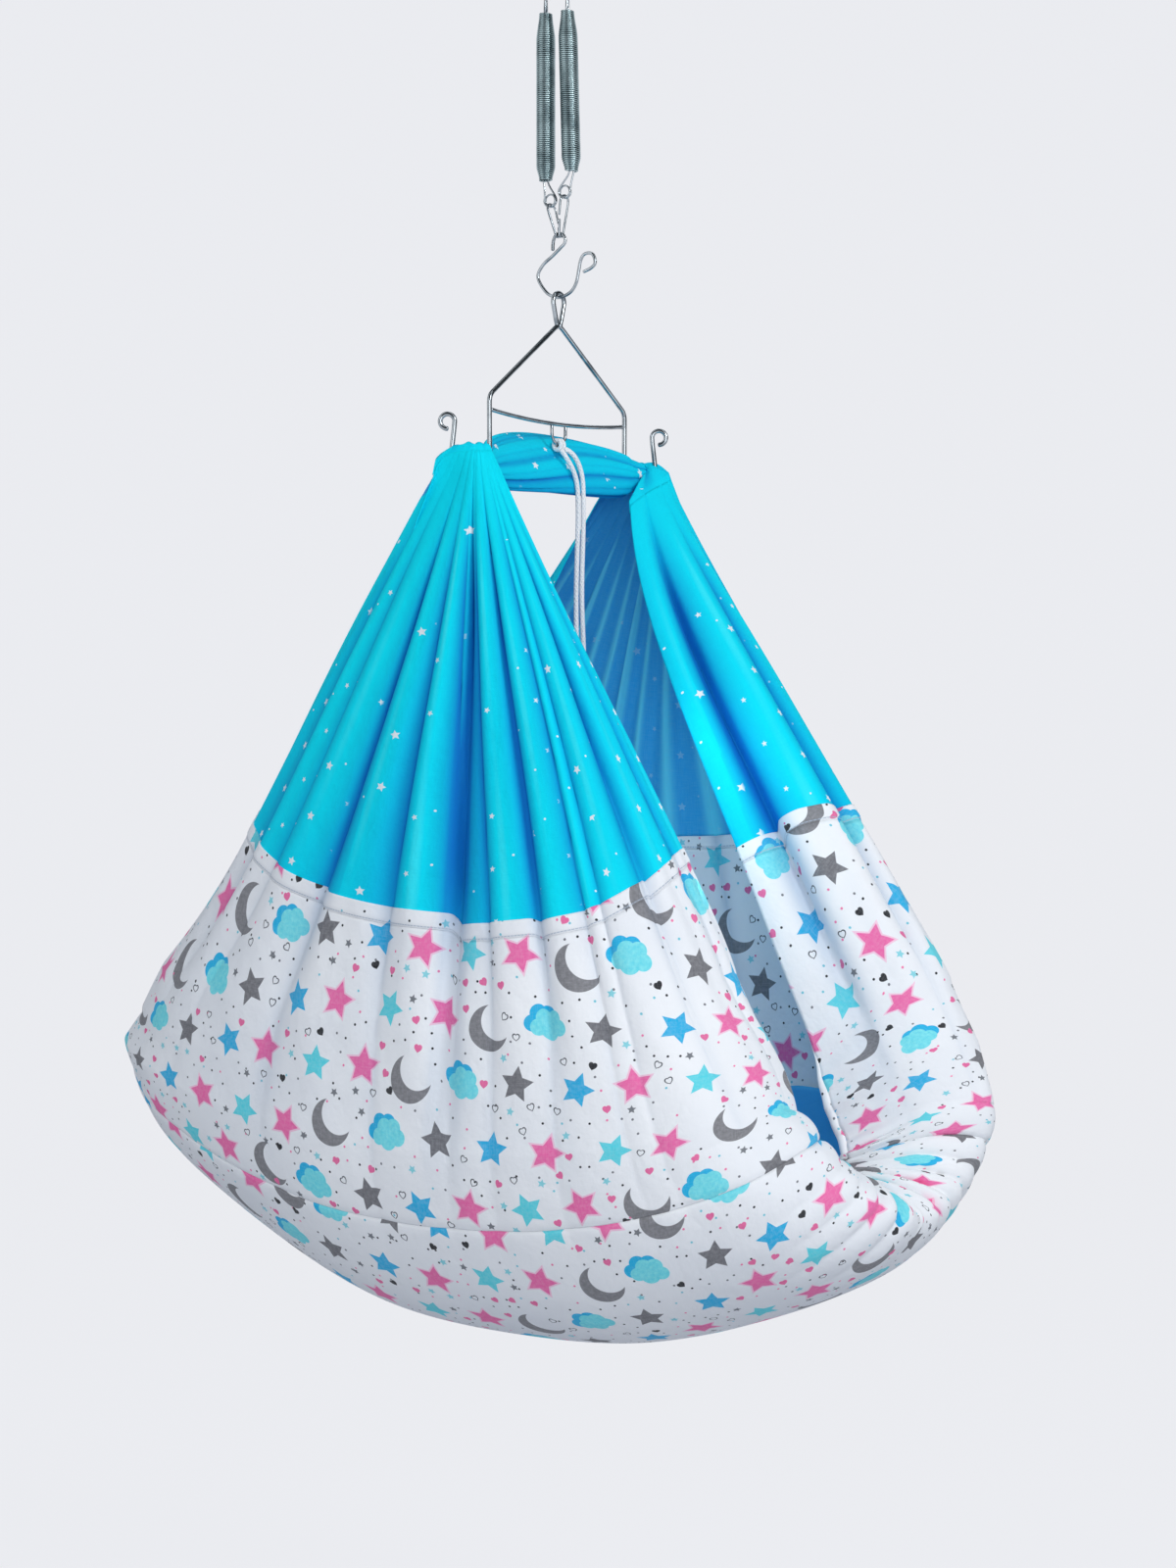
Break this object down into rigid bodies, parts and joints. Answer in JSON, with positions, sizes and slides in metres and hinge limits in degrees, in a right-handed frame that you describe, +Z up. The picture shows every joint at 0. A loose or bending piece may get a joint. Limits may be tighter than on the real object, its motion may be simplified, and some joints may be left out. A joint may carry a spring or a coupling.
{
  "type": "hanging baby cradle",
  "caption": "Cloth loop cradle gathered over a bent rod hanger, hung by an S-hook and wire links from a pair of extension springs, with a padded pouch and a pull cord.",
  "frame": {"origin": "the hang point, midway between the crowns of the two top hooks and level with their inside", "axes": "+X along the hanger's crossbar to the right, +Z up; the open front, where the baby goes in, faces -Y"},
  "size_m": [0.4529, 0.9317, 1.3827],
  "materials": {
    "spring_steel": "bright zinc plated spring wire",
    "zinc": "bright zinc plated wire and rod",
    "star_cotton": "plain weave cotton with small white stars",
    "print_cotton": "plain weave cotton with a scattered nursery print",
    "elastic": "covered elastic",
    "pad_cover": "cotton cover over a foam pad",
    "blue_lining": "plain blue cotton",
    "cord": "soft braided cotton cord"
  },
  "bodies": {
    "spring_pair": {"top_hook_left": "zinc", "top_hook_right": "zinc", "spring_left": "spring_steel", "spring_right": "spring_steel"},
    "lower_hooks": {"lower_hook_left": "zinc", "lower_hook_right": "zinc"},
    "links": {"link_left": "zinc", "link_right": "zinc"},
    "s_hook": {"s_hook": "zinc"},
    "cradle": {"hanger_frame": "zinc", "crossbar": "zinc", "cord_bail": "zinc", "top_band": "star_cotton", "neck_left": "star_cotton", "neck_right": "star_cotton", "upper_panel_left": "star_cotton", "upper_panel_right": "star_cotton", "seam_strip_left": "print_cotton", "seam_strip_right": "print_cotton", "lower_panel_left": "print_cotton", "lower_panel_right": "print_cotton", "bottom_panel": "print_cotton", "front_casing": "print_cotton", "back_casing": "print_cotton", "front_elastic": "elastic", "back_elastic": "elastic", "mattress_pad": "pad_cover", "lining_sheet": "blue_lining", "cord_hitch": "cord", "pull_cord_front": "cord", "pull_cord_back": "cord", "cord_knot_front": "cord", "cord_knot_back": "cord"}
  },
  "joints": [
    {"name": "bounce", "type": "slide", "parent": "spring_pair", "child": "lower_hooks", "axis": [0, 0, -1], "range_m": [0, 0.1], "stiffness_N_per_m": 800, "springref_m": -0.08, "deforming": ["spring_left", "spring_right"]},
    {"name": "link_swing", "type": "hinge", "parent": "lower_hooks", "child": "links", "pos_m": [0, 0.001, -0.2275], "axis": [0, 1, 0], "range_deg": [-6, 6]},
    {"name": "s_hook_swing", "type": "hinge", "parent": "links", "child": "s_hook", "pos_m": [0, -0.001, -0.265], "axis": [1, 0, 0], "range_deg": [-20, 20]},
    {"name": "hanger_swing", "type": "hinge", "parent": "s_hook", "child": "cradle", "pos_m": [0, 0, -0.3209], "axis": [0, 1, 0], "range_deg": [-20, 20]}
  ]
}
